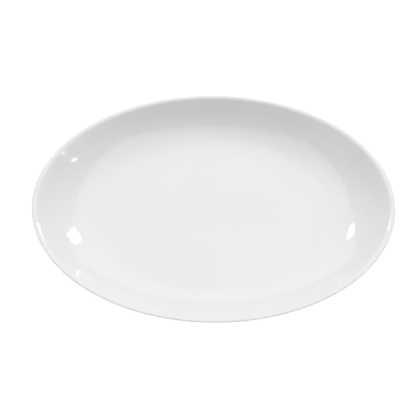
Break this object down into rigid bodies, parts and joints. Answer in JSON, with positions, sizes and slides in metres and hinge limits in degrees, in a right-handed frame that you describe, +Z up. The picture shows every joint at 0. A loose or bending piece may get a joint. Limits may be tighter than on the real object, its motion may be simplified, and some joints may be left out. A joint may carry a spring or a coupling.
{
  "type": "serving platter",
  "caption": "Plain white oval china serving platter with a flat well, a curved flank, a rounded lip and an oval foot ring that is left unglazed where it stands.",
  "frame": {"origin": "centre of the foot ring's bare resting face, on the surface that the platter stands on", "axes": "+X along the long axis of the oval, +Y along its short axis, +Z up out of the well"},
  "size_m": [0.33, 0.228, 0.035],
  "materials": {
    "porcelain": "satin",
    "bare_foot": "matte",
    "glaze": "polished",
    "recess_glaze": "gloss"
  },
  "bodies": {
    "root": {"porcelain_dish": "porcelain", "foot_ring": "bare_foot", "glaze_coat": "glaze", "recess_glaze": "recess_glaze"}
  },
  "joints": []
}
